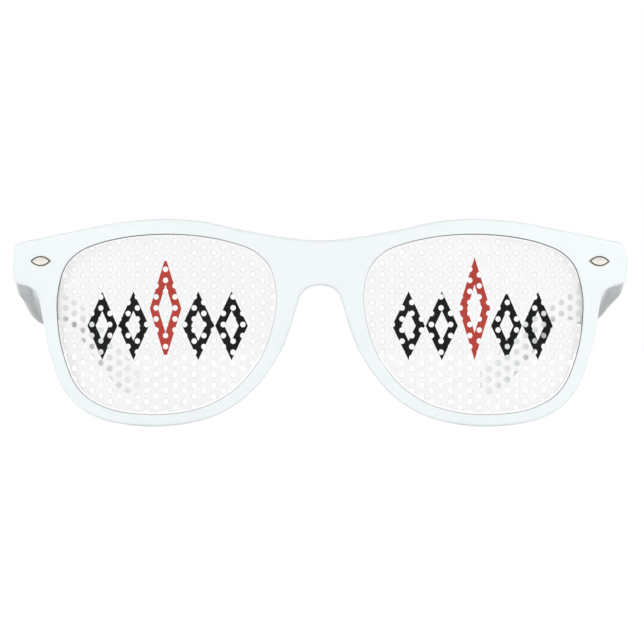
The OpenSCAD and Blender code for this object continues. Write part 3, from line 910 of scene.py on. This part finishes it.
class GLASSES_OT_lenses(bpy.types.Operator):
    """Makes the two clear lenses, which sit in the grooves of the rims"""

    bl_idname = "glasses.lenses"
    bl_label = "Lenses"

    def execute(self, context):
        shape = outlines(context)
        inset, innermost, ring_count = shape.sizes.groove_d - 2 * shape.seat_gap, 0.06, 14
        rim = [shape.opening_at(a) + shape.opening_out(a) * inset for a in np.arange(0, 360, 2.0)]
        shares = np.linspace(innermost, 1, ring_count)
        depths = [shape.lens_front] * ring_count + [shape.lens_front + shape.sizes.lens_t] * ring_count
        rings = []
        for share, depth in zip([*shares, *reversed(shares)], depths):
            ring = [shape.centre + p * share for p in rim]
            rings.append([(x, shape.face_y(x) + depth - shape.middle_y, z) for x, z in ring])
        points, faces = loft(rings)
        for side, sign in SIDES.items():
            lens = new_mesh(f"lens_pane_{side}", points, faces, Matrix.Diagonal((sign, 1, 1, 1)))
            shade(lens)
            place_piece(lens, "front", f"lens_{side}", [lens_material()])
        return {"FINISHED"}


def hole_centres(shape, shift):
    """Centres of the holes on the unrolled film, in upright columns set half a step apart.

    The edge of the film cuts through some, but those that it would only graze are left out.
    """
    sizes = shape.sizes
    beyond, graze = 0.4, 0.1
    across = math.ceil(sizes.lens_w / sizes.column_pitch / 2) + 1
    up = math.ceil(sizes.lens_h / sizes.row_pitch / 2)
    found = []
    for column in range(-across, across + 1):
        a = math.asin(shape.lens_cx / sizes.wrap_r) + (column - shift) * sizes.column_pitch / sizes.wrap_r
        x = sizes.wrap_r * math.sin(a) - shape.lens_cx
        for row in range(-up, up + 1):
            z = (row + (abs(column) % 2) / 2) * sizes.row_pitch
            reach = shape.radius(math.degrees(math.atan2(z, x)) % 360) - sizes.film_margin
            room = reach - math.hypot(x, z)
            if room > -beyond and abs(room - sizes.hole_d / 2) > graze:
                found.append((sizes.wrap_r * a, shape.lens_cz + z))
    return found


# The slots of a film's materials, one of which is painted shade on the cut walls and in a ring round each
# hole, and the sides of each of its holes
FILM, BLACK, RED, CUT_SHADE, BACK = range(5)
HOLE_SIDES = 24

# A printed diamond: its ink, its centre, and half its width and height
Diamond = namedtuple("Diamond", "ink x z half_w half_h")


def printed_diamonds(sizes, x, z, drop=0.3, gap=0.2):
    """The diamonds of one film, about a point on the unrolled film."""
    low, half_w = z - drop, (sizes.diamond_pitch - gap) / 2
    row = [Diamond(BLACK, x + k * sizes.diamond_pitch, low, half_w, sizes.diamond_h / 2)
           for k in range(-sizes.diamonds, sizes.diamonds + 1) if k]
    tall_z = low - sizes.diamond_h / 2 + sizes.tall_h / 2
    return row + [Diamond(RED, x, tall_z, half_w, sizes.tall_h / 2)]


def diamond_share(x, z, d):
    """How far out a point lies in a diamond: 1 is its edge."""
    return abs(x - d.x) / d.half_w + abs(z - d.z) / d.half_h


def stroke_share(sizes, d):
    """Where the inner edge of a diamond's line lies."""
    return 1 - sizes.stroke * math.hypot(d.half_w, d.half_h) / (d.half_w * d.half_h)


def film_rim(shape, step=1.5):
    """The edge of the unrolled film."""
    sizes = shape.sizes
    rim = []
    for a in np.arange(360, 0, -step):
        p = shape.centre + shape.opening_at(a) - shape.opening_out(a) * sizes.film_margin
        rim.append((sizes.wrap_r * math.asin(p[0] / sizes.wrap_r), p[1]))
    return rim


def film_loops(sizes, rim, holes, diamonds, least_opening=0.1):
    """The closed lines on the unrolled film: its edge, the holes with their rings of painted shade, and
    the print.
    """
    loops = [rim]
    for u, z in holes:
        for r in (sizes.hole_d / 2, sizes.hole_d / 2 + sizes.hole_rim):
            loops.append([(u + x, z + y) for x, y in circle(r, HOLE_SIDES)])
    for d in diamonds:
        inner = stroke_share(sizes, d)
        for share in (1, inner) if inner > least_opening else (1,):
            loops.append([(d.x + d.half_w * share * x, d.z + d.half_h * share * z)
                          for x, z in ((1, 0), (0, 1), (-1, 0), (0, -1))])
    return loops


def film_sheet(shape, shift, same_point=1e-5):
    """The flat film as points, triangles and the slot of each triangle, with its holes left out."""
    sizes = shape.sizes
    middle = sizes.wrap_r * math.asin(shape.lens_cx / sizes.wrap_r)
    rim, holes = film_rim(shape), hole_centres(shape, shift)
    diamonds = printed_diamonds(sizes, middle, shape.lens_cz)
    verts, edges = [], []
    for loop in film_loops(sizes, rim, holes, diamonds):
        first = len(verts)
        verts += loop
        edges += [(first + k, first + (k + 1) % len(loop)) for k in range(len(loop))]
    flat, _, triangles, _, _, _ = delaunay_2d_cdt(verts, edges, [], 0, same_point)
    flat = np.array([tuple(v) for v in flat])
    triangles = np.array([tuple(t) for t in triangles])
    centres = flat[triangles].mean(axis=1)
    x, z = centres.T
    from_hole = np.min([np.hypot(x - hole[0], z - hole[1]) for hole in holes], axis=0)
    # A thin ring round each hole takes the painted shade
    slots = np.where(from_hole < sizes.hole_d / 2 + sizes.hole_rim, CUT_SHADE, FILM)
    for d in diamonds:
        share = diamond_share(x, z, d)
        slots[(stroke_share(sizes, d) < share) & (share < 1)] = d.ink
    kept = inside(centres, rim) & (from_hole > sizes.hole_d / 2 * math.cos(math.pi / HOLE_SIDES))
    return flat, triangles[kept], slots[kept]


def inside(points, loop):
    """Which of the points are inside the loop."""
    x, y = points.T
    within = np.zeros(len(points), bool)
    for (x1, y1), (x2, y2) in zip(loop, loop[1:] + loop[:1]):
        if y1 != y2:
            within ^= ((y1 > y) != (y2 > y)) & (x < x1 + (y - y1) / (y2 - y1) * (x2 - x1))
    return within


def film_solid(shape, shift, glue_gap=0.02):
    """The film bent to the lens and given its thickness. The back and the walls take no ink."""
    sizes = shape.sizes
    flat, triangles, inks = film_sheet(shape, shift)
    used, index = np.unique(triangles, return_inverse=True)
    index = index.reshape(-1, 3)
    points = []
    for depth in (shape.lens_front - glue_gap - sizes.film_t, shape.lens_front - glue_gap):
        for u, z in flat[used]:
            x = sizes.wrap_r * math.sin(u / sizes.wrap_r)
            points.append((x, shape.face_y(x) + depth - shape.middle_y, z))
    n = len(used)
    faces, slots, sides = [], [], set()
    for (a, b, c), ink in zip(index.tolist(), inks.tolist()):
        faces += [(a, b, c), (a + n, c + n, b + n)]
        slots += [ink, BACK]
        sides.update(((a, b), (b, c), (c, a)))
    # The walls take the painted shade of the cut edges
    for a, b in sides:
        if (b, a) not in sides:
            faces.append((b, a, a + n, b + n))
            slots.append(CUT_SHADE)
    return points, faces, slots


class GLASSES_OT_films(bpy.types.Operator):
    """Makes the two perforated films with their print"""

    bl_idname = "glasses.films"
    bl_label = "Printed films"

    def execute(self, context):
        shape = outlines(context)
        colours = context.scene.glasses_colours

        # Name, colour, least and most roughness, strength of the second tone, its scale, and gloss
        finishes = (
            ("film_vinyl", colours.film, (0.42, 0.58), 0.985, 60, 0.3),
            ("black_ink", colours.ink_black, (0.32, 0.5), 1.6, 90, 0.1),
            ("red_ink", colours.ink_red, (0.32, 0.5), 0.9, 90, 0.1),
            ("cut_film", colours.film_cut, (0.5, 0.6), 0.97, 60, 0.2),
            ("film_back", colours.film_back, (0.4, 0.55), 0.93, 110, 0.3))
        materials = [
            plastic_material(name, tint, rough, second, tone, grain=1500, bump=0.005, gloss=gloss)
            for name, tint, rough, second, tone, gloss in finishes]
        for side, sign in SIDES.items():
            points, faces, slots = film_solid(shape, shape.sizes.column_shift if side == "left" else 0)
            film = new_mesh(f"print_film_{side}", points, faces, Matrix.Diagonal((sign, 1, 1, 1)))
            film.data.polygons.foreach_set("material_index", slots)
            shade(film)
            place_piece(film, "front", f"film_{side}", materials)
        return {"FINISHED"}


class GLASSES_OT_ornaments(bpy.types.Operator):
    """Makes the two pressed metal ornaments, each with a crowned field and painted shade and dark
    reflection in the groove round its edge
    """

    bl_idname = "glasses.ornaments"
    bl_label = "Ornaments"

    def execute(self, context):
        shape = outlines(context)
        colours = context.scene.glasses_colours
        w, h = shape.sizes.ornament_w, shape.sizes.ornament_h
        dark_from, field_from = 2, 6
        field_w, crown_h, length_share = 0.94, 0.22, 3.6

        # How far each ring lies inside the outline, and its height. The rings get shorter at
        # length_share times that distance, so the points draw in faster than the sides.
        profile = [
            (0, -SEAT_D + shape.seat_gap), (0, 0.06), (0.03, 0.11), (0.08, 0.12), (0.13, 0.1),
            (0.19, 0.02), (0.25, 0.03), (0.28, 0.16), (0.33, 0.23)]
        d, z = profile[-1]
        profile += [
            (d + field_w * f, z + crown_h * math.sin(f * math.pi / 2)) for f in np.linspace(0.1, 1, 8)]
        rings = [[(x, y, z) for x, y in pointed_oval(w - length_share * d, h - 2 * d)] for d, z in profile]
        points, faces = loft([list(reversed(ring)) for ring in rings])
        n = len(rings[0])
        # The rings of the edge groove take the painted shade and dark reflection in slot 1
        slots = [0] + [1 if dark_from <= k // n < field_from else 0 for k in range(len(faces) - 2)] + [0]
        materials = [
            metal_material("plated_metal", colours.ornament, (0.12, 0.24)),
            metal_material("dark_groove", colours.oxide, (0.4, 0.6))]
        shank = prism(circle(SHANK_R, SHANK_SIDES), -SHANK_L, -SEAT_D + shape.seat_gap)
        for side in SIDES:
            place = shape.at_ornament(side)
            cap = new_mesh(f"metal_ornament_{side}", points, faces, place)
            cap.data.polygons.foreach_set("material_index", slots)
            join(cap, new_mesh("shank", *shank, place))
            shade(cap, 40)
            place_piece(cap, "front", f"ornament_{side}", materials)
        return {"FINISHED"}


def join(obj, other):
    """Adds the other object's mesh to obj."""
    bm = bmesh.new()
    bm.from_mesh(obj.data)
    bm.from_mesh(other.data)
    bm.to_mesh(obj.data)
    bm.free()
    bpy.data.objects.remove(other)


def soften(name, node, width):
    """A copy of a CAD node with small round edges."""
    obj = bpy.data.objects.new(name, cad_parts[node].data.copy())
    bpy.context.scene.collection.objects.link(obj)
    obj.data.materials.clear()
    bm = bmesh.new()
    bm.from_mesh(obj.data)
    bmesh.ops.remove_doubles(bm, verts=bm.verts, dist=0.002 * MM)
    bmesh.ops.dissolve_limit(bm, angle_limit=math.radians(1), verts=bm.verts, edges=bm.edges)
    bm.to_mesh(obj.data)
    bm.free()
    modifier = obj.modifiers.new("edges", "BEVEL")
    modifier.width, modifier.segments, modifier.limit_method = width * MM, 2, "ANGLE"
    modifier.angle_limit = math.radians(40)
    apply_modifiers(obj)
    shade(obj)
    return obj


class GLASSES_OT_hinges(bpy.types.Operator):
    """Makes both halves of the two hinges"""

    bl_idname = "glasses.hinges"
    bl_label = "Hinges"

    def execute(self, context):
        steel = metal_material("leaf_steel", context.scene.glasses_colours.hinge, (0.22, 0.4))
        for side in SIDES:
            for part, body in (("front", "front"), ("temple", BODIES[side])):
                node = f"{part}_hinge_{side}"
                leaf = soften(f"{part}_leaf_{side}", node, 0.07)
                place_piece(leaf, body, node, [steel])
        return {"FINISHED"}


class GLASSES_OT_screws(bpy.types.Operator):
    """Makes the two pivot screws"""

    bl_idname = "glasses.screws"
    bl_label = "Screws"

    def execute(self, context):
        steel = metal_material("bright_steel", context.scene.glasses_colours.screw, (0.15, 0.3))
        for side in SIDES:
            node = f"hinge_screw_{side}"
            place_piece(soften(f"pivot_screw_{side}", node, 0.05), "front", node, [steel])
        return {"FINISHED"}


# Stage

# The paper floor: its glow and its grey as the camera sees it, and its half width and its
# distance below the object, in metres
FLOOR_GLOW = 0.76
FLOOR_TONE = 0.45
FLOOR_HALF = 1.5
FLOOR_DOWN = 0.00005

# What the floor throws back before, under and behind the object, and where along Y that changes. The dark
# tone under the object is painted shade.
FLOOR_TONES = (0.88, 0.12, 0.95)
UNDER_FROM = (-0.066, -0.05)
UNDER_TO = (0.01, 0.05)

# Light of the room, from its walls and from straight above
WALL_LIGHT = 0.95
TOP_LIGHT = 0.05

# Name, place, diameter and power of each lamp, and what all are aimed at, in metres and watts
LAMPS = (
    ("key", (0.05, -1.6, 0.45), 1.0, 10.3), ("right_side", (-1.45, 0.1, 0.6), 0.7, 7.0),
    ("left_side", (1.45, 0.1, 0.6), 0.7, 7.0), ("back", (0, 1.6, 0.75), 0.8, 9.0))
LAMP_AIM = (0, 0, 0.02)

# The camera's distance from the bridge, half the width that it sees there, and its place, in metres
VIEW_DISTANCE = 0.7
VIEW_HALF = 0.07467
VIEW_X = 0.00046
VIEW_Z = 0.0244


def seen_directly(tree):
    """1 for the rays that see the background: from the camera, in gloss or through glass."""
    path = tree.nodes.new("ShaderNodeLightPath")
    most = path.outputs["Is Camera Ray"]
    for name in ("Is Glossy Ray", "Is Transmission Ray"):
        most = arithmetic(tree, "MAXIMUM", most, path.outputs[name])
    first = arithmetic(tree, "LESS_THAN", path.outputs["Diffuse Depth"], 0.5)
    return arithmetic(tree, "MULTIPLY", most, first)


def floor_material():
    """White to the camera, with the object's soft shadow, and to other light darker under the object, as
    painted shade.
    """
    material, tree, out, shader = start_material("floor_paper")
    glow = tree.nodes.new("ShaderNodeEmission")
    glow.inputs["Strength"].default_value = FLOOR_GLOW
    paper = tree.nodes.new("ShaderNodeBsdfDiffuse")
    paper.inputs["Color"].default_value = (FLOOR_TONE, FLOOR_TONE, FLOOR_TONE, 1)
    seen = tree.nodes.new("ShaderNodeAddShader")
    set_inputs(tree, seen, {0: glow.outputs[0], 1: paper.outputs[0]})
    _, y, _ = separate(tree, tree.nodes.new("ShaderNodeNewGeometry").outputs["Position"])
    # Painted shade: the floor throws back less light under the object
    before, under, behind = FLOOR_TONES
    tone = arithmetic(
        tree, "MAXIMUM", map_range(tree, y, *UNDER_FROM, before, under),
        map_range(tree, y, *UNDER_TO, under, behind))
    set_inputs(tree, shader, {"Base Color": tone, "Roughness": 0.9})
    choose_shader(tree, out, seen_directly(tree), shader, seen)
    return material


def make_floor():
    reach = FLOOR_HALF / MM
    corners = [(x * reach, y * reach, -FLOOR_DOWN / MM) for x, y in ((-1, -1), (1, -1), (1, 1), (-1, 1))]
    floor = new_mesh("floor", corners, [(0, 1, 2, 3)])
    floor.data.materials.append(floor_material())


def make_world(scene):
    """White where it is seen directly, and otherwise a room with the light of its walls."""
    world = bpy.data.worlds.new("studio")
    world.use_nodes = True
    tree = world.node_tree
    tree.nodes.clear()
    out = tree.nodes.new("ShaderNodeOutputWorld")
    white, room = tree.nodes.new("ShaderNodeBackground"), tree.nodes.new("ShaderNodeBackground")
    _, _, up = separate(tree, coordinates(tree, "Generated"))
    set_inputs(tree, white, {"Color": (1, 1, 1, 1), "Strength": 1.0})
    set_inputs(tree, room, {
        "Color": (1, 1, 1, 1), "Strength": map_range(tree, up, 0, 1, WALL_LIGHT, TOP_LIGHT)})
    choose_shader(tree, out, seen_directly(tree), room, white)
    scene.world = world


def make_lamp(scene, name, place, size, power):
    lamp = bpy.data.lights.new(name, "AREA")
    lamp.shape, lamp.size, lamp.energy = "DISK", size, power
    obj = bpy.data.objects.new(name, lamp)
    scene.collection.objects.link(obj)
    obj.location = place
    obj.visible_camera = obj.visible_glossy = obj.visible_transmission = False
    direction = Vector(LAMP_AIM) - obj.location
    obj.rotation_euler = direction.to_track_quat("-Z", "Y").to_euler()


def make_camera(scene):
    camera = bpy.data.objects.new("camera", bpy.data.cameras.new("camera"))
    camera.data.angle = 2 * math.atan(VIEW_HALF / VIEW_DISTANCE)
    camera.data.clip_start, camera.data.clip_end = 0.01, 20
    camera.location = (VIEW_X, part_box("frame_front")[0].y - VIEW_DISTANCE, VIEW_Z)
    camera.rotation_euler = (math.pi / 2, 0, 0)
    scene.collection.objects.link(camera)
    scene.camera = camera


class GLASSES_OT_stage(bpy.types.Operator):
    """Sets the floor, the light and the camera"""

    bl_idname = "glasses.stage"
    bl_label = "Stage"

    def execute(self, context):
        scene = context.scene
        make_floor()
        make_world(scene)
        for lamp in LAMPS:
            make_lamp(scene, *lamp)
        make_camera(scene)
        scene.view_settings.view_transform = "Standard"
        return {"FINISHED"}


STEPS = ("front", "temples", "lenses", "films", "ornaments", "hinges", "screws", "stage")


class GLASSES_PT_panel(bpy.types.Panel):
    """Lists the pieces of the glasses, with their sizes and colours"""

    bl_label = "Party glasses"
    bl_idname = "GLASSES_PT_panel"
    bl_space_type = "VIEW_3D"
    bl_region_type = "UI"
    bl_category = "Glasses"

    def draw(self, context):
        for step in STEPS:
            self.layout.operator(f"glasses.{step}")
        for name in ("glasses_sizes", "glasses_film", "glasses_colours"):
            group = getattr(context.scene, name)
            column = self.layout.column(align=True)
            for key in type(group).__annotations__:
                column.prop(group, key)


CLASSES = (
    GlassesSizes, FilmSizes, GlassesColours, GLASSES_OT_front, GLASSES_OT_temples, GLASSES_OT_lenses,
    GLASSES_OT_films, GLASSES_OT_ornaments, GLASSES_OT_hinges, GLASSES_OT_screws, GLASSES_OT_stage,
    GLASSES_PT_panel)


def register():
    for cls in CLASSES:
        bpy.utils.register_class(cls)
    bpy.types.Scene.glasses_sizes = PointerProperty(type=GlassesSizes)
    bpy.types.Scene.glasses_film = PointerProperty(type=FilmSizes)
    bpy.types.Scene.glasses_colours = PointerProperty(type=GlassesColours)


def unregister():
    del bpy.types.Scene.glasses_sizes, bpy.types.Scene.glasses_film, bpy.types.Scene.glasses_colours
    for cls in reversed(CLASSES):
        bpy.utils.unregister_class(cls)


def main():
    register()
    for step in STEPS:
        getattr(bpy.ops.glasses, step)()


if __name__ == "__main__":
    main()
